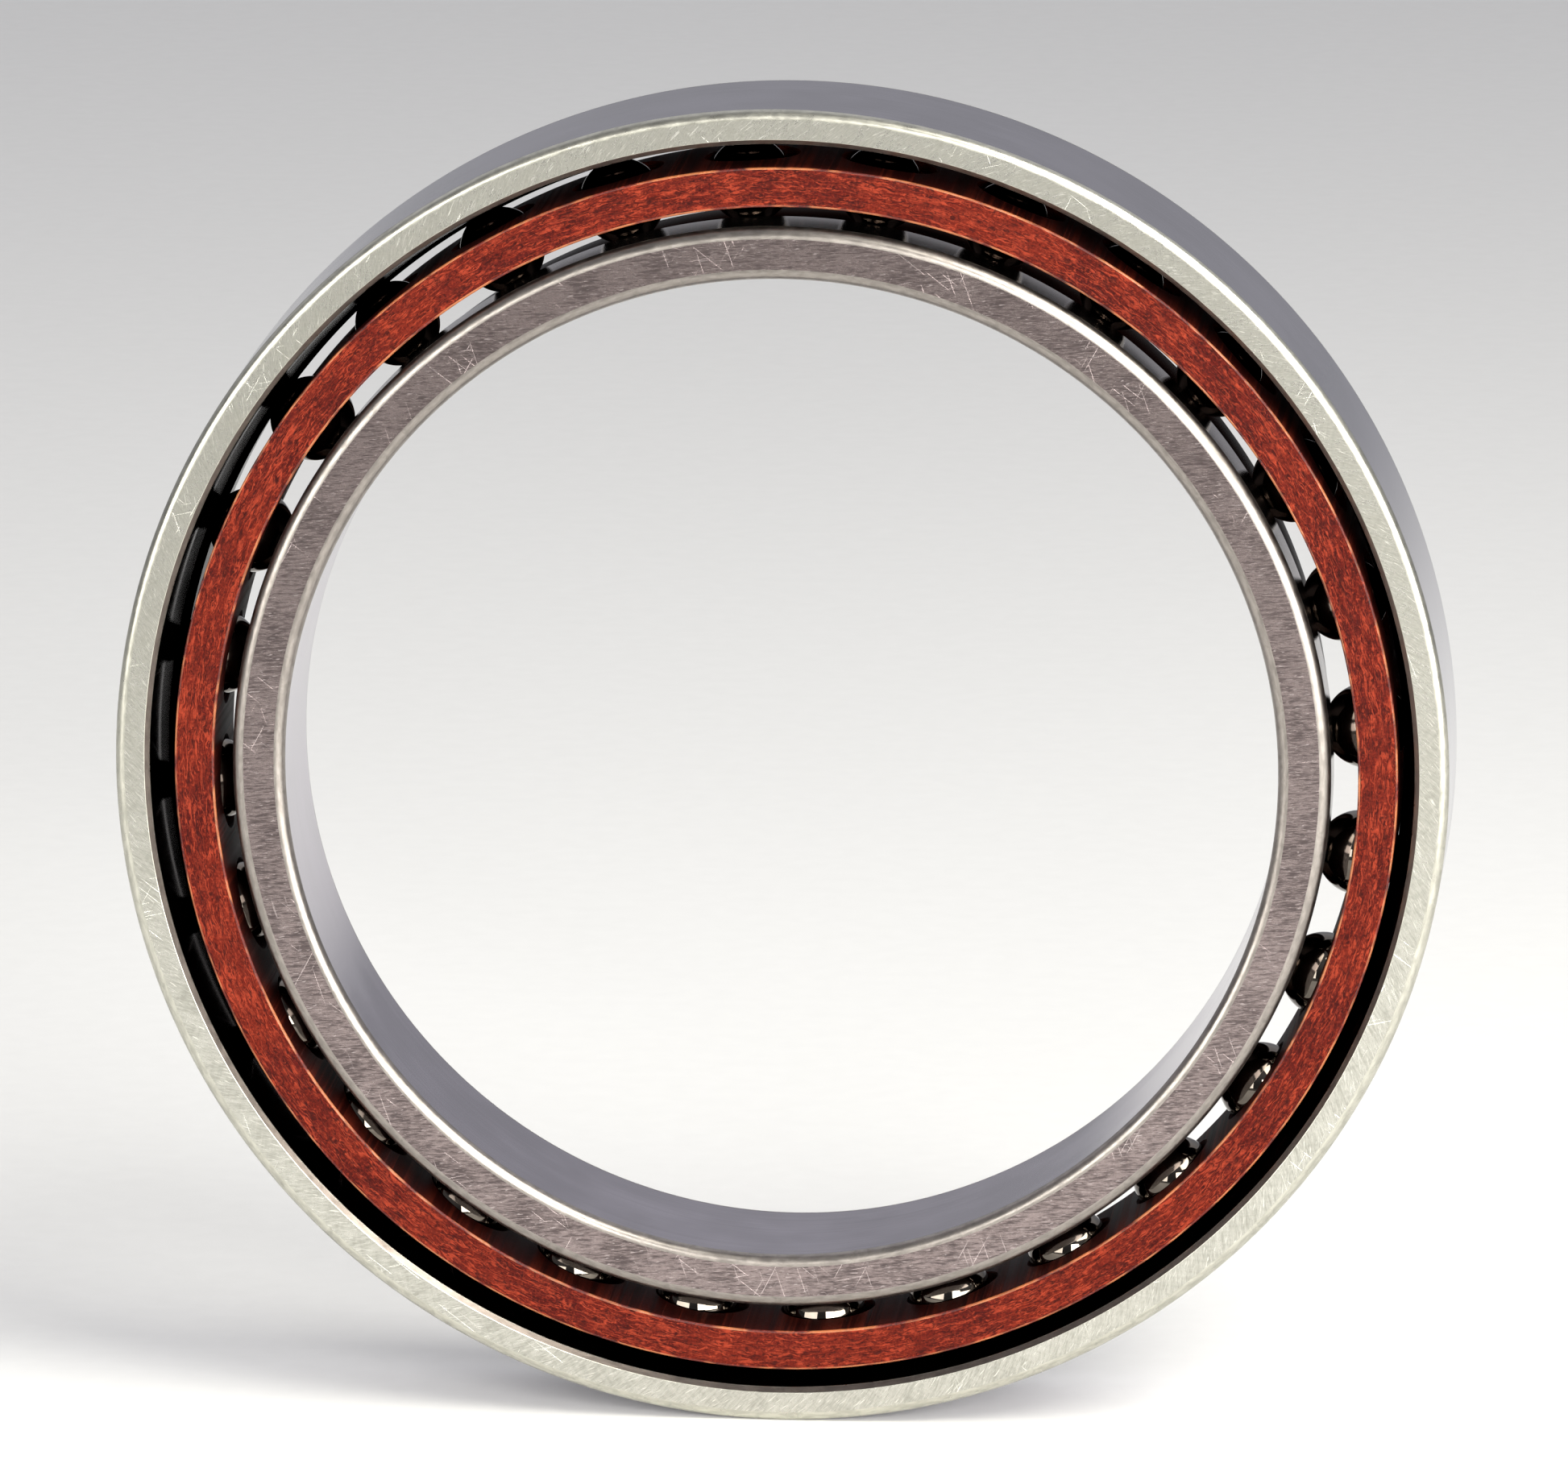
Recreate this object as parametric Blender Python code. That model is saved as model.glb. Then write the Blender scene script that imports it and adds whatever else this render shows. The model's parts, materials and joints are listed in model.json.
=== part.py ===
"""Angular contact ball bearing: outer ring, inner ring, one-piece cage and a full row of balls.

Metres. The bearing axis is world Y. The front face, with the relieved outer shoulder, looks along -Y.
The bearing stands upright, so +Z is up. Every ring is a closed profile turned about the axis.
"""

import math

import bmesh
import bpy
from mathutils import Matrix, Vector

MM = 0.001

# Boundary dimensions
BORE_RADIUS = 17.5 * MM
OUTSIDE_RADIUS = 23.5 * MM
WIDTH = 7.0 * MM

# Ball row
BALL_COUNT = 28
BALL_RADIUS = 1.5 * MM
PITCH_RADIUS = 20.5 * MM
CONTACT_ANGLE = math.radians(15.0)
BALL_PHASE = math.radians(3.7)
GROOVE_RADIUS = 1.56 * MM
RACEWAY_CLEARANCE = 0.03 * MM

# Outer ring
OUTSIDE_CHAMFER = 0.30 * MM
OUTER_FACE_INNER_RADIUS = 22.47 * MM
OUTER_RELIEF_RADIUS = 22.29 * MM
OUTER_LIP_RADIUS = 21.98 * MM
OUTER_SHOULDER_RADIUS = 21.75 * MM
OUTER_SHOULDER_CHAMFER = 0.20 * MM

# Inner ring
BORE_CHAMFER = 0.35 * MM
INNER_SHOULDER_RADIUS = 19.36 * MM
INNER_SHOULDER_CHAMFER = 0.36 * MM
INNER_BACK_RADIUS = 19.03 * MM
INNER_BACK_CHAMFER = 0.20 * MM

# Cage
CAGE_INNER_RADIUS = 20.16 * MM
CAGE_OUTER_RADIUS = 21.56 * MM
CAGE_FRONT = -3.35 * MM
CAGE_BACK = 2.40 * MM
CAGE_CHAMFER = 0.10 * MM
POCKET_RADIUS = 1.60 * MM

# Facets
RING_STEPS = 84
GROOVE_STEPS = 6
POCKET_STEPS = 16
BALL_SEGMENTS = 14
BALL_RINGS = 8

for old in list(bpy.data.objects):
    bpy.data.objects.remove(old, do_unlink=True)


def ball_angle(index):
    """Angle of one ball about the bearing axis, from +X towards +Z."""
    return BALL_PHASE + index * math.tau / BALL_COUNT


def groove_arc(side, start_radius, end_radius, steps):
    """Raceway points (radius, y) on one side of the balls, from the front edge to the back edge.

    side is +1 for the outer raceway and -1 for the inner one. The arc is centred so that the gap
    to the ball is smallest on the contact line.
    """
    shift = GROOVE_RADIUS - BALL_RADIUS - RACEWAY_CLEARANCE
    centre_r = PITCH_RADIUS - side * shift * math.cos(CONTACT_ANGLE)
    centre_y = -side * shift * math.sin(CONTACT_ANGLE)
    start = -math.acos(side * (start_radius - centre_r) / GROOVE_RADIUS)
    end = math.acos(side * (end_radius - centre_r) / GROOVE_RADIUS)
    points = []
    for i in range(steps + 1):
        angle = start + (end - start) * i / steps
        radius = centre_r + side * GROOVE_RADIUS * math.cos(angle)
        points.append((radius, centre_y + GROOVE_RADIUS * math.sin(angle)))
    return points


def turned(name, profile, steps):
    """Turn a closed (radius, y) profile about the Y axis into one closed mesh."""
    verts = []
    for i in range(steps):
        angle = math.tau * i / steps
        for radius, y in profile:
            verts.append((radius * math.cos(angle), y, radius * math.sin(angle)))
    count = len(profile)
    faces = []
    for i in range(steps):
        here = i * count
        there = ((i + 1) % steps) * count
        for j in range(count):
            k = (j + 1) % count
            faces.append((here + j, here + k, there + k, there + j))
    mesh = bpy.data.meshes.new(name)
    mesh.from_pydata(verts, [], faces)
    face_outwards(mesh)
    return mesh


def face_outwards(mesh):
    """Make every face of a closed mesh point outwards."""
    work = bmesh.new()
    work.from_mesh(mesh)
    bmesh.ops.recalc_face_normals(work, faces=work.faces)
    if work.calc_volume(signed=True) < 0.0:
        bmesh.ops.reverse_faces(work, faces=work.faces)
    work.to_mesh(mesh)
    work.free()


def material(name, colour, metallic, roughness):
    """One Principled material."""
    made = bpy.data.materials.new(name)
    made.use_nodes = True
    shader = made.node_tree.nodes["Principled BSDF"]
    shader.inputs["Base Color"].default_value = (*colour, 1.0)
    shader.inputs["Metallic"].default_value = metallic
    shader.inputs["Roughness"].default_value = roughness
    made.diffuse_color = (*colour, 1.0)
    return made


def add_node(name, mesh, surface, sharp_degrees):
    """Link one named object with its material and smooth shading."""
    node = bpy.data.objects.new(name, mesh)
    bpy.context.scene.collection.objects.link(node)
    if surface.name not in mesh.materials:
        mesh.materials.append(surface)
    mesh.shade_smooth()
    mesh.set_sharp_from_angle(angle=math.radians(sharp_degrees))
    return node


def outer_ring_profile():
    """Outer ring section: relieved front shoulder, raceway, high back shoulder that guides the cage."""
    front = -WIDTH / 2
    back = WIDTH / 2
    relief_depth = OUTER_FACE_INNER_RADIUS - OUTER_RELIEF_RADIUS
    groove = groove_arc(1, OUTER_LIP_RADIUS, OUTER_SHOULDER_RADIUS, GROOVE_STEPS)
    points = [
        (OUTSIDE_RADIUS, back - OUTSIDE_CHAMFER),
        (OUTSIDE_RADIUS, front + OUTSIDE_CHAMFER),
        (OUTSIDE_RADIUS - OUTSIDE_CHAMFER, front),
        (OUTER_FACE_INNER_RADIUS, front),
        (OUTER_RELIEF_RADIUS, front + relief_depth),
    ]
    points += groove
    points += [
        (OUTER_SHOULDER_RADIUS, back - OUTER_SHOULDER_CHAMFER),
        (OUTER_SHOULDER_RADIUS + OUTER_SHOULDER_CHAMFER, back),
        (OUTSIDE_RADIUS - OUTSIDE_CHAMFER, back),
    ]
    return points


def inner_ring_profile():
    """Inner ring section: high front shoulder, raceway, lower back shoulder, plain bore."""
    front = -WIDTH / 2
    back = WIDTH / 2
    groove = groove_arc(-1, INNER_SHOULDER_RADIUS, INNER_BACK_RADIUS, GROOVE_STEPS)
    points = [
        (BORE_RADIUS, back - BORE_CHAMFER),
        (BORE_RADIUS, front + BORE_CHAMFER),
        (BORE_RADIUS + BORE_CHAMFER, front),
        (INNER_SHOULDER_RADIUS - INNER_SHOULDER_CHAMFER, front),
        (INNER_SHOULDER_RADIUS, front + INNER_SHOULDER_CHAMFER),
    ]
    points += groove
    points += [
        (INNER_BACK_RADIUS, back - INNER_BACK_CHAMFER),
        (INNER_BACK_RADIUS - INNER_BACK_CHAMFER, back),
        (BORE_RADIUS + BORE_CHAMFER, back),
    ]
    return points


def cage_profile():
    """Cage section: a plain band with small chamfers, set back from the bearing's back face."""
    front = CAGE_FRONT
    back = CAGE_BACK
    inner = CAGE_INNER_RADIUS
    outer = CAGE_OUTER_RADIUS
    cut = CAGE_CHAMFER
    return [
        (inner, back - cut),
        (inner, front + cut),
        (inner + cut, front),
        (outer - cut, front),
        (outer, front + cut),
        (outer, back - cut),
        (outer - cut, back),
        (inner + cut, back),
    ]


def pocket_cutter():
    """One object holding a radial drill for every ball pocket."""
    work = bmesh.new()
    low = CAGE_INNER_RADIUS - 0.6 * MM
    high = CAGE_OUTER_RADIUS + 0.6 * MM
    for index in range(BALL_COUNT):
        angle = ball_angle(index)
        radial = Vector((math.cos(angle), 0.0, math.sin(angle)))
        turn = Vector((0.0, 0.0, 1.0)).rotation_difference(radial).to_matrix().to_4x4()
        place = Matrix.Translation(radial * (low + high) / 2) @ turn
        bmesh.ops.create_cone(
            work,
            cap_ends=True,
            segments=POCKET_STEPS,
            radius1=POCKET_RADIUS,
            radius2=POCKET_RADIUS,
            depth=high - low,
            matrix=place,
        )
    mesh = bpy.data.meshes.new("pocket_cutter")
    work.to_mesh(mesh)
    work.free()
    face_outwards(mesh)
    cutter = bpy.data.objects.new("pocket_cutter", mesh)
    bpy.context.scene.collection.objects.link(cutter)
    cutter.hide_render = True
    cutter.display_type = 'WIRE'
    return cutter


def ball_mesh():
    """Ball shared by the whole row, with every vertex on the sphere."""
    work = bmesh.new()
    bmesh.ops.create_uvsphere(
        work, u_segments=BALL_SEGMENTS, v_segments=BALL_RINGS, radius=BALL_RADIUS
    )
    mesh = bpy.data.meshes.new("ball")
    work.to_mesh(mesh)
    work.free()
    face_outwards(mesh)
    return mesh


def build():
    """Build every node of the bearing."""
    outer_steel = material("outer_ring_steel", (0.62, 0.62, 0.59), 1.0, 0.32)
    inner_steel = material("inner_ring_steel", (0.48, 0.46, 0.43), 1.0, 0.36)
    phenolic = material("cage_phenolic", (0.36, 0.07, 0.035), 0.0, 0.55)
    chrome_steel = material("ball_steel", (0.72, 0.72, 0.72), 1.0, 0.06)

    add_node("outer_ring", turned("outer_ring", outer_ring_profile(), RING_STEPS), outer_steel, 25.0)
    add_node("inner_ring", turned("inner_ring", inner_ring_profile(), RING_STEPS), inner_steel, 25.0)

    cage = add_node("cage", turned("cage", cage_profile(), RING_STEPS), phenolic, 25.0)
    drill = cage.modifiers.new("ball_pockets", 'BOOLEAN')
    drill.operation = 'DIFFERENCE'
    drill.solver = 'EXACT'
    drill.object = pocket_cutter()

    mesh = ball_mesh()
    for index in range(BALL_COUNT):
        ball = add_node("ball_%02d" % (index + 1), mesh, chrome_steel, 80.0)
        angle = ball_angle(index)
        radial = Vector((math.cos(angle), 0.0, math.sin(angle)))
        ball.location = radial * PITCH_RADIUS
        ball.rotation_euler = (0.0, -angle, 0.0)


build()
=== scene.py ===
import json
import math

import bmesh
import bpy
from mathutils import Matrix, Vector


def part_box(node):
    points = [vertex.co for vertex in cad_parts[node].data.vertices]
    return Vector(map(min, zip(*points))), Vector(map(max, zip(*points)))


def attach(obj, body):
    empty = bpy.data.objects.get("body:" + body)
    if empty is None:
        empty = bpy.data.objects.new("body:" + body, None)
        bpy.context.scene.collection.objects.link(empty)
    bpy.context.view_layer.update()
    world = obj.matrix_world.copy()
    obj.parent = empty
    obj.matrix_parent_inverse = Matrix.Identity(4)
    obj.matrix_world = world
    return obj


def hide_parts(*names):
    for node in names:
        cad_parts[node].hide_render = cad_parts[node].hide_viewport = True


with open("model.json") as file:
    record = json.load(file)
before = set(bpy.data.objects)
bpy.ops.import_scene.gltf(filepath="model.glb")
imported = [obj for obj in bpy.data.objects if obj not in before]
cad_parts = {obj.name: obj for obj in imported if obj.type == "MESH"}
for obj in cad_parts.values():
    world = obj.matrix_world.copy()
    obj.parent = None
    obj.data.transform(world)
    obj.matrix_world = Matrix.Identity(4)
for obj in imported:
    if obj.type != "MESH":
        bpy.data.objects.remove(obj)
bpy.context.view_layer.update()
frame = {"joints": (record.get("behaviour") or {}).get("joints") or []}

MM = 0.001
MICRON = 0.000001

# Sizes read from the CAD frame
OUTSIDE_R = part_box("outer_ring")[1].x
HALF_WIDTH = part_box("outer_ring")[1].y
INNER_LAND_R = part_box("inner_ring")[1].x
CAGE_OUTER_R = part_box("cage")[1].x
CAGE_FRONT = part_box("cage")[0].y
CAGE_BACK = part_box("cage")[1].y
BALL_JOINTS = [j for j in frame["joints"] if j["name"].startswith("ball_")]
PITCH_R = Vector(BALL_JOINTS[0]["pos_m"]).length
BALL_R = (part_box("ball_01")[1].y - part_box("ball_01")[0].y) / 2

# Section details
BORE_R = 17.5 * MM
BORE_ROUNDING = 0.35 * MM
INNER_ROUNDING = 0.40 * MM
INNER_BACK_R = 19.03 * MM
OUTER_ROUNDING = 0.30 * MM
OUTER_FACE_INNER_R = 22.47 * MM
OUTER_RELIEF_R = 22.29 * MM
OUTER_LIP_R = 21.98 * MM
OUTER_SHOULDER_R = 21.745 * MM
BACK_CHAMFER = 0.20 * MM
EDGE_BREAK = 0.03 * MM
CAGE_INNER_R = 20.16 * MM
CAGE_ROUNDING = 0.07 * MM
POCKET_R = 1.69 * MM
GROOVE_R = 1.56 * MM
RACEWAY_GAP = 0.03 * MM
CONTACT_ANGLE = math.radians(15.0)
DRILL_OVERSHOOT = 0.6 * MM

# The loose cage hangs off centre inside its guiding clearance
CAGE_SAG = Vector((0.15 * MM, 0.0, -0.095 * MM))

# Laminate colours, linear
CAGE_DARK = (0.018, 0.0012, 0.0008)
CAGE_BASE = (0.064, 0.0036, 0.0018)
CAGE_DEEP = (0.034, 0.0018, 0.0010)
CAGE_THREAD = (0.27, 0.034, 0.014)
CAGE_WARM = (0.12, 0.010, 0.003)
# Painted highlight: pale orange for the cage's rounded edges, standing in for lamplight caught on them
CAGE_RIM_PAINTED_HIGHLIGHT = (0.42, 0.15, 0.055)
CAGE_SHADE = (0.006, 0.0012, 0.001)

# Fineness of the meshes
RING_STEPS = 448
GROOVE_STEPS = 28
POCKET_STEPS = 72
BALL_SEGMENTS = 64
BALL_RINGS = 40
CORNER_STEP = math.radians(9.0)
CORNER_SUPPORT = 0.03 * MM
SHARP_DEGREES = 28.0

# Radius at which the seamless texture coordinates keep their true size
MID_R = 20.5 * MM


# ---------------------------------------------------------------- geometry


def corner_points(before, corner, after, radius):
    """Points of one rounded corner of a section, with support points where it meets the flats."""
    a = (before - corner).normalized()
    b = (after - corner).normalized()
    half = a.angle(b) / 2
    reach = min(radius / math.tan(half), 0.45 * min((before - corner).length, (after - corner).length))
    radius = reach * math.tan(half)
    centre = corner + (a + b).normalized() * (radius / math.sin(half))
    start = corner + a * reach
    end = corner + b * reach
    turn = math.pi - 2 * half
    steps = max(3, math.ceil(turn / CORNER_STEP))
    support = min(0.15 * radius, CORNER_SUPPORT)
    points = [start + a * support]
    arm = start - centre
    sign = 1.0 if arm.x * (end - centre).y - arm.y * (end - centre).x > 0 else -1.0
    for i in range(steps + 1):
        angle = sign * turn * i / steps
        c, s = math.cos(angle), math.sin(angle)
        points.append(centre + Vector((arm.x * c - arm.y * s, arm.x * s + arm.y * c)))
    points.append(end + b * support)
    return points


def section(corners):
    """Closed section from (radius, y, rounding, zone) corners.

    A zone names the surface that follows its corner. A corner with no rounding is kept as it is.
    """
    out = []
    count = len(corners)
    for i, (r, y, rounding, zone) in enumerate(corners):
        here = Vector((r, y))
        if rounding <= 0.0:
            out.append((r, y, zone))
            continue
        before = Vector(corners[i - 1][:2])
        after = Vector(corners[(i + 1) % count][:2])
        points = corner_points(before, here, after, rounding)
        for point in points[:-1]:
            out.append((point.x, point.y, corners[i - 1][3] if point is points[0] else "edge"))
        out.append((points[-1].x, points[-1].y, zone))
    return out


def groove(side, start_r, end_r):
    """Raceway corners on one side of the balls: +1 outer, -1 inner."""
    shift = GROOVE_R - BALL_R - RACEWAY_GAP
    centre_r = PITCH_R - side * shift * math.cos(CONTACT_ANGLE)
    centre_y = -side * shift * math.sin(CONTACT_ANGLE)
    start = -math.acos(side * (start_r - centre_r) / GROOVE_R)
    end = math.acos(side * (end_r - centre_r) / GROOVE_R)
    points = []
    for i in range(GROOVE_STEPS + 1):
        angle = start + (end - start) * i / GROOVE_STEPS
        r = centre_r + side * GROOVE_R * math.cos(angle)
        y = centre_y + GROOVE_R * math.sin(angle)
        points.append((r, y, 0.0, "raceway"))
    return points


def turned(name, profile, steps, slots):
    """Turn a closed section about the Y axis. slots gives each zone's material index."""
    verts = []
    for i in range(steps):
        angle = math.tau * i / steps
        c, s = math.cos(angle), math.sin(angle)
        for r, y, _ in profile:
            verts.append((r * c, y, r * s))
    count = len(profile)
    faces = []
    indices = []
    for i in range(steps):
        here = i * count
        there = ((i + 1) % steps) * count
        for j in range(count):
            k = (j + 1) % count
            faces.append((here + j, here + k, there + k, there + j))
            indices.append(slots[profile[j][2]])
    mesh = bpy.data.meshes.new(name)
    mesh.from_pydata(verts, [], faces)
    mesh.polygons.foreach_set("material_index", indices)
    face_outwards(mesh)
    return mesh


def face_outwards(mesh):
    """Point every face of a closed mesh outwards."""
    work = bmesh.new()
    work.from_mesh(mesh)
    bmesh.ops.recalc_face_normals(work, faces=work.faces)
    if work.calc_volume(signed=True) < 0.0:
        bmesh.ops.reverse_faces(work, faces=work.faces)
    work.to_mesh(mesh)
    work.free()


def add_piece(name, mesh, materials, body, nodes, sharp=SHARP_DEGREES):
    """Link one visible piece, ride it on its CAD body and let it stand for its CAD nodes."""
    piece = bpy.data.objects.new(name, mesh)
    bpy.context.scene.collection.objects.link(piece)
    if not mesh.materials:
        for material in materials:
            mesh.materials.append(material)
    mesh.shade_smooth()
    mesh.set_sharp_from_angle(angle=math.radians(sharp))
    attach(piece, body)
    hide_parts(*nodes)
    return piece


def outer_ring_section():
    """Outer ring: relieved front shoulder, raceway and high back shoulder."""
    front, back = -HALF_WIDTH, HALF_WIDTH
    relief = OUTER_FACE_INNER_R - OUTER_RELIEF_R
    corners = [
        (OUTSIDE_R, back, OUTER_ROUNDING, "outside"),
        (OUTSIDE_R, front, OUTER_ROUNDING, "face"),
        (OUTER_FACE_INNER_R, front, EDGE_BREAK, "chamfer"),
        (OUTER_RELIEF_R, front + relief, 2 * EDGE_BREAK, "relief"),
    ]
    corners += groove(1, OUTER_LIP_R, OUTER_SHOULDER_R)
    corners += [
        (OUTER_SHOULDER_R, back - BACK_CHAMFER, 2 * EDGE_BREAK, "chamfer"),
        (OUTER_SHOULDER_R + BACK_CHAMFER, back, EDGE_BREAK, "face"),
    ]
    return section(corners)


def inner_ring_section():
    """Inner ring: high front shoulder, raceway, lower back shoulder and plain bore."""
    front, back = -HALF_WIDTH, HALF_WIDTH
    corners = [
        (BORE_R, back, BORE_ROUNDING, "outside"),
        (BORE_R, front, BORE_ROUNDING, "face"),
        (INNER_LAND_R, front, INNER_ROUNDING, "relief"),
    ]
    corners += groove(-1, INNER_LAND_R, INNER_BACK_R)
    corners += [
        (INNER_BACK_R, back - BACK_CHAMFER, 2 * EDGE_BREAK, "chamfer"),
        (INNER_BACK_R - BACK_CHAMFER, back, EDGE_BREAK, "face"),
    ]
    return section(corners)


def cage_section():
    """Cage: a plain band, set back from the bearing's back face."""
    corners = [
        (CAGE_INNER_R, CAGE_BACK, CAGE_ROUNDING, "side"),
        (CAGE_INNER_R, CAGE_FRONT, CAGE_ROUNDING, "face"),
        (CAGE_OUTER_R, CAGE_FRONT, CAGE_ROUNDING, "side"),
        (CAGE_OUTER_R, CAGE_BACK, CAGE_ROUNDING, "face"),
    ]
    return section(corners)


def radial_frame(centre):
    """Matrix at centre whose Z axis points away from the bearing axis."""
    radial = Vector((centre.x, 0.0, centre.z)).normalized()
    turn = Vector((0.0, 0.0, 1.0)).rotation_difference(radial).to_matrix().to_4x4()
    return Matrix.Translation(centre) @ turn


def drill_pockets(cage):
    """Cut one round radial pocket per ball. Its walls take the cage's side material."""
    work = bmesh.new()
    depth = CAGE_OUTER_R - CAGE_INNER_R + 2 * DRILL_OVERSHOOT
    middle = (CAGE_OUTER_R + CAGE_INNER_R) / 2
    for joint in BALL_JOINTS:
        centre = Vector(joint["pos_m"]).normalized() * middle
        bmesh.ops.create_cone(
            work,
            cap_ends=True,
            segments=POCKET_STEPS,
            radius1=POCKET_R,
            radius2=POCKET_R,
            depth=depth,
            matrix=radial_frame(centre),
        )
    mesh = bpy.data.meshes.new("pocket_drill")
    work.to_mesh(mesh)
    work.free()
    face_outwards(mesh)
    drill = bpy.data.objects.new("pocket_drill", mesh)
    bpy.context.scene.collection.objects.link(drill)
    for material in cage.data.materials:
        mesh.materials.append(material)
    mesh.polygons.foreach_set("material_index", [CAGE_SLOTS["side"]] * len(mesh.polygons))
    cut = cage.modifiers.new("pockets", 'BOOLEAN')
    cut.operation = 'DIFFERENCE'
    cut.solver = 'EXACT'
    cut.object = drill
    bpy.context.view_layer.update()
    graph = bpy.context.evaluated_depsgraph_get()
    done = bpy.data.meshes.new_from_object(cage.evaluated_get(graph))
    cage.modifiers.clear()
    cage.data = done
    done.shade_smooth()
    done.set_sharp_from_angle(angle=math.radians(SHARP_DEGREES))
    bpy.data.objects.remove(drill)


# ---------------------------------------------------------------- materials


class Look:
    """A node material under construction, with short calls for the nodes used here."""

    def __init__(self, name):
        self.material = bpy.data.materials.new(name)
        self.material.use_nodes = True
        self.tree = self.material.node_tree
        self.shader = self.tree.nodes["Principled BSDF"]
        place = self.tree.nodes.new("ShaderNodeTexCoord").outputs["Object"]
        self.place = place
        split = self.add("ShaderNodeSeparateXYZ", {"Vector": place})
        self.x, self.y, self.z = split.outputs
        self.radius = self.length(self.x, self.z)
        self.angle = self.sum('ARCTAN2', self.z, self.x)

    def add(self, kind, inputs=None, **settings):
        node = self.tree.nodes.new(kind)
        for key, value in settings.items():
            setattr(node, key, value)
        for key, value in (inputs or {}).items():
            self.feed(node.inputs[key], value)
        return node

    def feed(self, socket, value):
        if isinstance(value, bpy.types.NodeSocket):
            self.tree.links.new(value, socket)
        else:
            socket.default_value = value

    def sum(self, operation, a, b=0.0):
        """One Math node."""
        return self.add("ShaderNodeMath", {0: a, 1: b}, operation=operation).outputs[0]

    def length(self, a, b):
        squares = self.sum('ADD', self.sum('MULTIPLY', a, a), self.sum('MULTIPLY', b, b))
        return self.sum('SQRT', squares)

    def vector(self, x, y, z):
        return self.add("ShaderNodeCombineXYZ", {0: x, 1: y, 2: z}).outputs[0]

    def noise(self, vector, scale=1.0, detail=2.0, roughness=0.5, distortion=0.0):
        """Noise from 0 to 1, centred on 0.5."""
        inputs = {
            "Vector": vector,
            "Scale": scale,
            "Detail": detail,
            "Roughness": roughness,
            "Distortion": distortion,
        }
        return self.add("ShaderNodeTexNoise", inputs).outputs[0]

    def polar(self, along, across, shear=0.0, offset=0.0):
        """Seamless coordinates round the axis.

        Features are along metres round the ring and across metres wide. shear leans them, in metres
        round the ring for each metre outwards.
        """
        out = self.sum('SUBTRACT', self.radius, MID_R)
        lean = self.sum('MULTIPLY', out, shear / MID_R)
        angle = self.sum('ADD', self.angle, lean)
        round_x = self.sum('MULTIPLY', self.sum('COSINE', angle), MID_R / along)
        round_z = self.sum('MULTIPLY', self.sum('SINE', angle), MID_R / along)
        step = self.sum('MULTIPLY_ADD', self.radius, 1.0 / across)
        step.node.inputs[2].default_value = offset
        return self.vector(round_x, step, round_z)

    def shifted(self, vector, step):
        """Move coordinates along their second axis."""
        inputs = {0: vector, 1: self.vector(0.0, step, 0.0)}
        return self.add("ShaderNodeVectorMath", inputs, operation='ADD').outputs[0]

    def straight(self, degrees, along, across, offset=0.0):
        """Coordinates on the face for straight marks, along metres long and across metres wide."""
        c, s = math.cos(math.radians(degrees)), math.sin(math.radians(degrees))

        def combine(x_factor, z_factor):
            x_part = self.sum('MULTIPLY', self.x, x_factor)
            z_part = self.sum('MULTIPLY', self.z, z_factor)
            return self.sum('ADD', x_part, z_part)

        u = combine(c / along, s / along)
        v = combine(-s / across, c / across)
        return self.vector(u, self.sum('ADD', v, offset), offset)

    def threads(self, along, across, offset, wave_length, swing):
        """Wavy threads round the ring, along metres long and across metres wide.

        They swing sideways by up to swing of their widths over one wave_length.
        """
        wave_place = self.polar(wave_length, 0.35 * wave_length, 0.0, offset + 3.0)
        wave = self.noise(wave_place, detail=1.0)
        straight = self.polar(along, across, 0.0, offset)
        return self.noise(self.shifted(straight, self.sum('MULTIPLY', wave, swing)), detail=2.0)

    def ridge(self, value, width):
        """Thin line along the places where a noise crosses its middle."""
        distance = self.sum('ABSOLUTE', self.sum('SUBTRACT', value, 0.5))
        return self.span(distance, 0.0, width, 1.0, 0.0)

    def strokes(self, lean, turn, long, wide, offset=0.0):
        """Coordinates for grinding marks: leaning across the ring, or parallel when lean is None.

        turn is the angle in degrees that parallel marks are turned from the main direction.
        """
        if lean is None:
            return self.straight(GRIND_DEGREES + turn, long, wide, offset)
        return self.polar(wide, long, lean, offset)

    def span(self, value, low, high, to_low=0.0, to_high=1.0):
        """Smooth step from to_low, where value is at low, to to_high, where it is at high."""
        inputs = {"Value": value, "From Min": low, "From Max": high, "To Min": to_low, "To Max": to_high}
        return self.add("ShaderNodeMapRange", inputs, interpolation_type='SMOOTHSTEP').outputs[0]

    def mix(self, factor, a, b):
        """Colour from a, at factor 0, to b, at factor 1."""
        node = self.add("ShaderNodeMix", data_type='RGBA')
        self.feed(node.inputs[0], factor)
        self.feed(node.inputs[6], a if isinstance(a, bpy.types.NodeSocket) else (*a, 1.0))
        self.feed(node.inputs[7], b if isinstance(b, bpy.types.NodeSocket) else (*b, 1.0))
        return node.outputs[2]

    def bump(self, height, distance):
        inputs = {"Height": height, "Distance": distance, "Strength": 1.0}
        return self.add("ShaderNodeBump", inputs).outputs[0]

    def finish(self, **inputs):
        """Feed the Principled BSDF. An underscore in a name stands for a space."""
        for key, value in inputs.items():
            if isinstance(value, tuple):
                value = (*value, 1.0)
            self.feed(self.shader.inputs[key.replace("_", " ")], value)
        return self.material


# Direction of the parallel grinding marks, and direction and texture offset of each set of scratches
GRIND_DEGREES = 4.0
SCRATCHES = ((62.0, 3.1), (-38.0, 11.7), (12.0, 23.9), (-71.0, 41.3))


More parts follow.
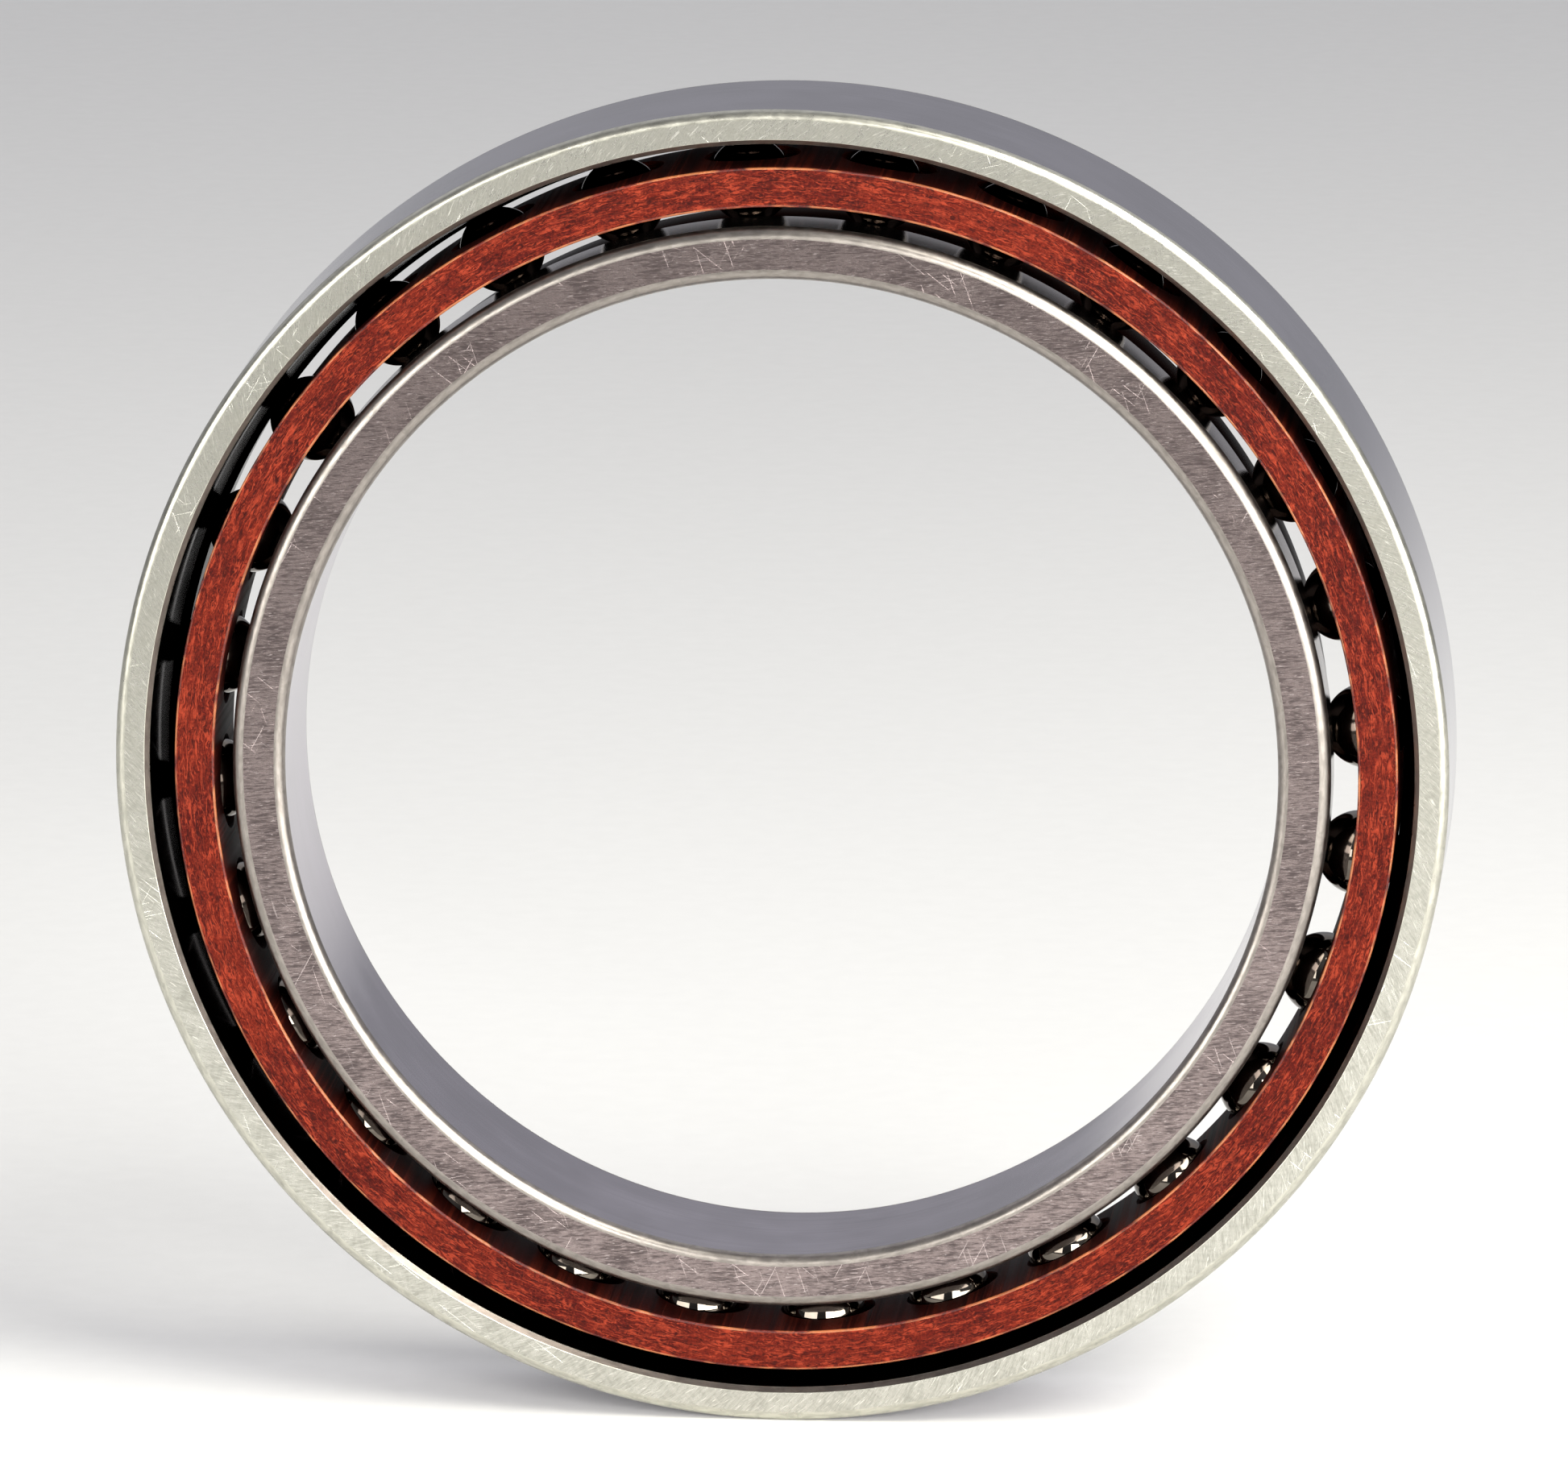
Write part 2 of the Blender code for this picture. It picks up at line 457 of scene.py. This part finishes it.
def ground_steel(name, dark, light, streak, lean, roughness, depth, contrast=1.0):
    """Ground ring face: fine marks, cloudy tint, speckle, short bright dashes and a few scratches.

    streak is the width of one mark. lean is the slope of marks that cross the ring, or None for
    parallel ones.
    """
    look = Look(name)

    def leaning(factor):
        return None if lean is None else factor * lean

    main_marks = look.strokes(leaning(1.0), 0.0, 0.75 * MM, streak)
    marks = look.noise(main_marks, detail=3.0, roughness=0.6, distortion=0.5)
    crossing_marks = look.strokes(leaning(-1.6), 11.0, 0.6 * MM, streak * 1.6, 13.0)
    swept = look.noise(crossing_marks, detail=2.0, distortion=0.4)
    fine_marks = look.strokes(leaning(1.5), -5.0, 0.30 * MM, streak * 0.5, 7.0)
    fine = look.noise(fine_marks, detail=3.0, roughness=0.65)
    cloud = look.noise(look.place, 1.0 / (1.6 * MM), detail=3.0, roughness=0.55)
    speck = look.noise(look.place, 1.0 / (0.06 * MM), detail=2.0, roughness=0.7)
    tone = look.sum('ADD', look.sum('MULTIPLY', marks, 0.34), look.sum('MULTIPLY', swept, 0.14))
    tone = look.sum('ADD', tone, look.sum('MULTIPLY', cloud, 0.20))
    tone = look.sum('ADD', tone, look.sum('MULTIPLY', fine, 0.32))
    spread = 0.13 / contrast
    colour = look.mix(look.span(tone, 0.5 - spread, 0.5 + spread), dark, light)
    colour = look.mix(look.span(speck, 0.56, 0.74, 0.0, 0.35), colour, tuple(0.72 * c for c in dark))
    short_marks = look.strokes(leaning(2.0), 2.0, 0.30 * MM, 0.055 * MM, 19.0)
    dash = look.noise(short_marks, detail=1.0, distortion=0.5)
    pale = tuple(min(1.0, 1.25 * c + 0.18) for c in light)
    colour = look.mix(look.span(dash, 0.64, 0.73, 0.0, 0.6), colour, pale)
    scratch = None
    for degrees, offset in SCRATCHES:
        lines = look.noise(look.straight(degrees, 2.2 * MM, 0.05 * MM, offset), detail=0.0)
        patch = look.noise(look.place, 1.0 / (2.1 * MM), detail=0.0)
        line = look.sum('MULTIPLY', look.span(lines, 0.77, 0.82), look.span(patch, 0.56, 0.64))
        scratch = line if scratch is None else look.sum('MAXIMUM', scratch, line)
    colour = look.mix(look.sum('MULTIPLY', scratch, 0.55), colour, pale)
    height = look.sum('ADD', marks, look.sum('MULTIPLY', fine, 0.7))
    height = look.sum('ADD', height, look.sum('MULTIPLY', swept, 0.5))
    height = look.sum('SUBTRACT', height, look.sum('MULTIPLY', scratch, 0.4))
    height = look.sum('ADD', height, look.sum('MULTIPLY', speck, 0.2))
    rough = look.span(tone, 0.35, 0.65, roughness + 0.05, roughness - 0.05)
    rough = look.sum('SUBTRACT', rough, look.sum('MULTIPLY', scratch, 0.1))
    return look.finish(
        Base_Color=colour,
        Metallic=1.0,
        Roughness=rough,
        Normal=look.bump(height, depth),
    )


def rounded_steel(name, colour, roughness, depth):
    """Tumbled corner: soft streaks round the ring with a few small nicks and stains."""
    look = Look(name)
    streaks = look.noise(look.polar(0.50 * MM, 0.12 * MM), detail=3.0, roughness=0.6)
    nicks = look.noise(look.polar(0.22 * MM, 0.12 * MM, 0.0, 9.0), detail=2.0, roughness=0.6)
    stain = look.noise(look.place, 1.0 / (0.45 * MM), detail=3.0, roughness=0.6)
    height = look.sum('ADD', streaks, look.sum('MULTIPLY', look.span(nicks, 0.60, 0.75), 0.6))
    tint = look.mix(look.span(streaks, 0.35, 0.65), tuple(0.78 * c for c in colour), colour)
    tint = look.mix(look.span(stain, 0.56, 0.72, 0.0, 0.45), tint, tuple(0.5 * c for c in colour))
    return look.finish(
        Base_Color=tint,
        Metallic=1.0,
        Roughness=look.span(stain, 0.3, 0.7, roughness - 0.03, roughness + 0.06),
        Normal=look.bump(height, depth),
    )


def polished_steel(name, colour, roughness, line_height, grazing=1.0):
    """Polished cylinder: hairlines run round the ring over a near-mirror surface.

    grazing below 1 dulls the glare at shallow angles, painted shade for surfaces that lie deep inside
    the bearing.
    """
    look = Look(name)
    along = look.polar(9.0 * MM, 1.0)
    hair = look.sum('MULTIPLY', look.y, 1.0 / (0.045 * MM))
    lines = look.noise(look.shifted(along, hair), detail=3.0)
    wide = look.sum('MULTIPLY', look.y, 1.0 / (0.45 * MM))
    bands = look.noise(look.shifted(along, wide), detail=2.0)
    cloud = look.noise(look.place, 1.0 / (3.0 * MM), detail=2.0)
    tint = look.mix(look.span(cloud, 0.3, 0.7), tuple(0.86 * c for c in colour), colour)
    tint = look.mix(look.span(lines, 0.35, 0.7, 0.0, 0.35), tint, tuple(0.55 * c for c in colour))
    height = look.sum('ADD', lines, look.sum('MULTIPLY', bands, 0.7))
    return look.finish(
        Base_Color=tint,
        Metallic=1.0,
        Specular_Tint=(grazing, grazing, grazing),
        Roughness=look.span(cloud, 0.3, 0.7, roughness, roughness + 0.05),
        Normal=look.bump(height, line_height),
    )


def ball_steel():
    """Polished ball: a dark mirror, its colour kept far below steel's as painted shade for the gap it
    sits in, with the faintest orange peel.
    """
    look = Look("ball_polished_steel")
    peel = look.noise(look.place, 1.0 / (0.35 * MM), detail=1.0)
    film = look.noise(look.place, 1.0 / (0.9 * MM), detail=2.0)
    # Painted shade: the near-black ball colours stand in for the shade in the gap and the dark
    # surroundings the balls reflect
    colour = look.mix(look.span(film, 0.35, 0.65), (0.12, 0.105, 0.09), (0.18, 0.155, 0.13))
    return look.finish(
        Base_Color=colour,
        Metallic=1.0,
        Roughness=look.span(film, 0.3, 0.7, 0.03, 0.07),
        Normal=look.bump(peel, 1 * MICRON),
    )


def phenolic(name, zone):
    """Cotton-phenolic laminate: pale wavy threads round the ring on deep red, with grain and seams.

    The side zone is darker, as it lies in shade, and the edge zone has a paler line that is a painted
    highlight, standing in for light caught on the rounded edge.
    """
    look = Look(name)
    warp = look.threads(1.70 * MM, 0.15 * MM, 5.0, 0.60 * MM, 2.6)
    weft = look.threads(0.75 * MM, 0.11 * MM, 17.0, 0.40 * MM, 2.2)
    cell_place = look.polar(0.20 * MM, 0.12 * MM, 0.0, 31.0)
    cells = look.noise(cell_place, detail=3.0, roughness=0.6, distortion=0.6)
    grain = look.noise(look.place, 1.0 / (0.09 * MM), detail=3.0, roughness=0.7)
    cloud = look.noise(look.place, 1.0 / (2.5 * MM), detail=2.0)
    fade_a = look.noise(look.polar(0.9 * MM, 0.35 * MM, 0.0, 41.0), detail=1.0)
    fade_b = look.noise(look.polar(0.7 * MM, 0.30 * MM, 0.0, 53.0), detail=1.0)
    lines_a = look.sum('MULTIPLY', look.ridge(warp, 0.060), look.span(fade_a, 0.34, 0.60, 0.15, 1.0))
    lines_b = look.sum('MULTIPLY', look.ridge(weft, 0.045), look.span(fade_b, 0.38, 0.62, 0.05, 1.0))
    lines = look.sum('MAXIMUM', lines_a, lines_b)
    colour = look.mix(look.span(cells, 0.35, 0.65), CAGE_DEEP, CAGE_BASE)
    colour = look.mix(look.span(cloud, 0.35, 0.7, 0.0, 0.5), colour, CAGE_WARM)
    colour = look.mix(look.sum('MULTIPLY', lines, 0.72), colour, CAGE_THREAD)
    colour = look.mix(look.span(grain, 0.50, 0.72, 0.0, 0.34), colour, CAGE_THREAD)
    colour = look.mix(look.span(grain, 0.30, 0.48, 0.60, 0.0), colour, CAGE_DARK)
    seam = look.threads(1.20 * MM, 0.14 * MM, 61.0, 0.50 * MM, 2.4)
    colour = look.mix(look.sum('MULTIPLY', look.ridge(seam, 0.040), 0.80), colour, CAGE_DARK)
    rough = look.span(warp, 0.3, 0.7, 0.50, 0.66)
    if zone == "side":
        colour = look.mix(0.72, colour, CAGE_SHADE)
    # Painted highlight: the edge zone is mixed towards the pale rim colour along a broken mask
    if zone == "edge":
        colour = look.mix(look.span(fade_a, 0.40, 0.62, 0.0, 0.60), colour, CAGE_RIM_PAINTED_HIGHLIGHT)
        rough = look.span(fade_a, 0.40, 0.62, 0.60, 0.34)
    height = look.sum('ADD', look.sum('MULTIPLY', cells, 0.9), warp)
    height = look.sum('ADD', height, look.sum('MULTIPLY', lines, 0.5))
    height = look.sum('ADD', height, look.sum('MULTIPLY', grain, 0.8))
    return look.finish(
        Base_Color=colour,
        Roughness=rough,
        Specular_IOR_Level=0.4 if zone == "edge" else 0.08,
        Normal=look.bump(height, 16 * MICRON),
    )


def floor_look():
    """Pale paper with a fine tooth."""
    look = Look("floor_paper")
    tooth = look.noise(look.place, 900.0, detail=3.0)
    colour = look.mix(tooth, (0.74, 0.74, 0.735), (0.78, 0.78, 0.775))
    return look.finish(Base_Color=colour, Roughness=0.75, Specular_IOR_Level=0.3)


# ---------------------------------------------------------------- pieces

# Material index of each zone. "outside" is the outside diameter or the bore.
RING_SLOTS = {"face": 0, "edge": 1, "outside": 2, "raceway": 3, "chamfer": 4, "relief": 5}
CAGE_SLOTS = {"face": 0, "side": 1, "edge": 2}

outer_looks = [
    ground_steel(
        "outer_ground_face",
        dark=(0.33, 0.325, 0.285),
        light=(0.58, 0.57, 0.515),
        streak=0.11 * MM,
        lean=0.6,
        roughness=0.30,
        depth=4 * MICRON,
    ),
    rounded_steel("outer_rounded_corner", (0.55, 0.54, 0.47), 0.30, 1.2 * MICRON),
    polished_steel("outer_polished_diameter", (0.51, 0.49, 0.56), 0.07, 0.25 * MICRON),
    # Painted shade: the raceway gets a near-black steel colour and dulled grazing glare, standing in for
    # shade deep in the gap
    polished_steel("outer_raceway", (0.03, 0.020, 0.019), 0.14, 0.3 * MICRON, 0.04),
    rounded_steel("outer_inner_chamfer", (0.20, 0.17, 0.15), 0.32, 1.5 * MICRON),
    # Painted shade: the counterbore gets a dark steel colour and dulled grazing glare, standing in for
    # shade in the gap
    polished_steel("outer_counterbore", (0.11, 0.085, 0.09), 0.09, 0.3 * MICRON, 0.35),
]
inner_looks = [
    ground_steel(
        "inner_ground_face",
        dark=(0.10, 0.080, 0.080),
        light=(0.315, 0.256, 0.25),
        streak=0.08 * MM,
        lean=None,
        roughness=0.28,
        depth=5 * MICRON,
        contrast=1.6,
    ),
    rounded_steel("inner_rounded_corner", (0.33, 0.30, 0.275), 0.32, 1.5 * MICRON),
    polished_steel("inner_polished_bore", (0.57, 0.53, 0.60), 0.12, 0.4 * MICRON),
    # Painted shade: the inner raceway gets a dark steel colour and dulled grazing glare, standing in for
    # shade in the gap
    polished_steel("inner_raceway", (0.10, 0.08, 0.075), 0.14, 0.3 * MICRON, 0.25),
    rounded_steel("inner_back_chamfer", (0.30, 0.27, 0.25), 0.28, 1.5 * MICRON),
    polished_steel("inner_front_land", (0.36, 0.32, 0.32), 0.12, 0.3 * MICRON),
]

add_piece(
    "outer_ring_fine",
    turned("outer_ring_fine", outer_ring_section(), RING_STEPS, RING_SLOTS),
    outer_looks,
    "outer_ring_body",
    ["outer_ring"],
)
add_piece(
    "inner_ring_fine",
    turned("inner_ring_fine", inner_ring_section(), RING_STEPS, RING_SLOTS),
    inner_looks,
    "inner_ring_body",
    ["inner_ring"],
)
cage = add_piece(
    "cage_fine",
    turned("cage_fine", cage_section(), RING_STEPS, CAGE_SLOTS),
    [
        phenolic("cage_laminate_face", "face"),
        phenolic("cage_laminate_side", "side"),
        phenolic("cage_worn_edge", "edge"),
    ],
    "cage_body",
    ["cage"],
)
drill_pockets(cage)
cage.data.transform(Matrix.Translation(CAGE_SAG))


def ball_mesh():
    """Smooth ball shared by the whole row."""
    work = bmesh.new()
    bmesh.ops.create_uvsphere(work, u_segments=BALL_SEGMENTS, v_segments=BALL_RINGS, radius=BALL_R)
    mesh = bpy.data.meshes.new("ball_fine")
    work.to_mesh(mesh)
    work.free()
    face_outwards(mesh)
    return mesh


shared_ball = ball_mesh()
ball_look = ball_steel()
for joint in BALL_JOINTS:
    node = joint["child"].replace("_body", "")
    ball = add_piece(node + "_fine", shared_ball, [ball_look], joint["child"], [node], 180.0)
    ball.parent = None
    ball.matrix_world = radial_frame(Vector(joint["pos_m"]))
    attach(ball, joint["child"])


# ---------------------------------------------------------------- stage

# Sizes and places in metres
FLOOR_RADIUS = 3.0
FLAG_HALF_SIDE = 0.5
FLAG_FORWARD = 0.60
FLAG_LIFT = 0.001
LAMP_DISTANCE = 0.42
WARM_WHITE = (1.0, 0.985, 0.94)
WARMER_WHITE = (1.0, 0.98, 0.90)
WORLD_COLOUR = (0.83, 0.83, 0.88)


def floor():
    """Plain pale floor under the bearing."""
    mesh = bpy.data.meshes.new("floor")
    work = bmesh.new()
    bmesh.ops.create_circle(work, cap_ends=True, segments=96, radius=FLOOR_RADIUS)
    work.to_mesh(mesh)
    work.free()
    obj = bpy.data.objects.new("floor", mesh)
    obj.location.z = -OUTSIDE_R
    bpy.context.scene.collection.objects.link(obj)
    mesh.materials.append(floor_look())


def flag():
    """Dark card on the floor in front, seen only in reflections.

    It keeps the upper faces from washing out.
    """
    work = bmesh.new()
    bmesh.ops.create_grid(work, x_segments=1, y_segments=1, size=FLAG_HALF_SIDE)
    mesh = bpy.data.meshes.new("flag")
    work.to_mesh(mesh)
    work.free()
    obj = bpy.data.objects.new("flag", mesh)
    obj.location = (0.0, -FLAG_FORWARD, FLAG_LIFT - OUTSIDE_R)
    bpy.context.scene.collection.objects.link(obj)
    mesh.materials.append(Look("flag_card").finish(Base_Color=(0.05, 0.05, 0.05), Roughness=0.8))
    obj.visible_camera = False
    obj.visible_diffuse = False
    obj.visible_shadow = False


def direction(azimuth, elevation):
    """Unit vector from azimuth degrees right of the front view and elevation degrees above it."""
    az, el = math.radians(azimuth), math.radians(elevation)
    return Vector((math.sin(az) * math.cos(el), -math.cos(az) * math.cos(el), math.sin(el)))


def softbox(name, azimuth, elevation, distance, width, height, power, colour, beam=180.0):
    """Rectangular lamp that faces the bearing. beam is its spread in degrees."""
    lamp = bpy.data.lights.new(name, 'AREA')
    lamp.shape = 'RECTANGLE'
    lamp.size = width
    lamp.size_y = height
    lamp.energy = power
    lamp.color = colour
    lamp.spread = math.radians(beam)
    obj = bpy.data.objects.new(name, lamp)
    way = direction(azimuth, elevation)
    obj.location = way * distance
    obj.rotation_euler = (-way).to_track_quat('-Z', 'Y').to_euler()
    bpy.context.scene.collection.objects.link(obj)


floor()
flag()
softbox("key_right", 46.0, 9.0, LAMP_DISTANCE, 0.28, 0.15, 1.60, WARM_WHITE)
softbox("key_left", -35.0, 9.0, LAMP_DISTANCE, 0.28, 0.15, 1.05, WARM_WHITE)
softbox("near_lens", 19.0, 12.0, LAMP_DISTANCE, 0.16, 0.17, 1.50, WARM_WHITE)
softbox("high_right", 50.0, 46.0, 0.40, 0.30, 0.20, 0.50, WARMER_WHITE, beam=90.0)


def studio_world():
    """Plain soft surroundings: bright overhead, dimmer at the horizon and in front."""
    world = bpy.data.worlds.new("studio")
    world.use_nodes = True
    tree = world.node_tree
    place = tree.nodes.new("ShaderNodeTexCoord")
    split = tree.nodes.new("ShaderNodeSeparateXYZ")
    tree.links.new(place.outputs["Generated"], split.inputs[0])

    def fade(axis, low, high, start, end):
        node = tree.nodes.new("ShaderNodeMapRange")
        node.interpolation_type = 'SMOOTHSTEP'
        node.inputs["From Min"].default_value = low
        node.inputs["From Max"].default_value = high
        node.inputs["To Min"].default_value = start
        node.inputs["To Max"].default_value = end
        tree.links.new(split.outputs[axis], node.inputs["Value"])
        return node.outputs[0]

    above = tree.nodes.new("ShaderNodeMath")
    above.operation = 'MULTIPLY'
    tree.links.new(fade("Y", -0.4, 0.5, 0.35, 1.0), above.inputs[0])
    tree.links.new(fade("Z", 0.18, 0.60, 0.42, 0.9), above.inputs[1])
    backdrop = tree.nodes["Background"]
    backdrop.inputs[0].default_value = (*WORLD_COLOUR, 1.0)
    tree.links.new(above.outputs[0], backdrop.inputs[1])
    bpy.context.scene.world = world


studio_world()
bpy.context.scene.view_settings.view_transform = 'Standard'

# Camera: nearly square on to the front face, from slightly above and to the right, through a long lens
VIEW_AZIMUTH = 4.9
VIEW_ELEVATION = 11.8
VIEW_DISTANCE = 0.5113
LENS_MM = 334.4
SENSOR_MM = 36.0
SHIFT = (0.0029, 0.0204)

camera = bpy.data.cameras.new("camera")
camera.lens = LENS_MM
camera.sensor_width = SENSOR_MM
camera.shift_x, camera.shift_y = SHIFT
camera.clip_start = 0.01
camera.clip_end = 20.0
eye = bpy.data.objects.new("camera", camera)
back = direction(VIEW_AZIMUTH, VIEW_ELEVATION)
eye.location = Vector((0.0, -HALF_WIDTH, 0.0)) + back * VIEW_DISTANCE
eye.rotation_euler = (-back).to_track_quat('-Z', 'Y').to_euler()
bpy.context.scene.collection.objects.link(eye)
bpy.context.scene.camera = eye
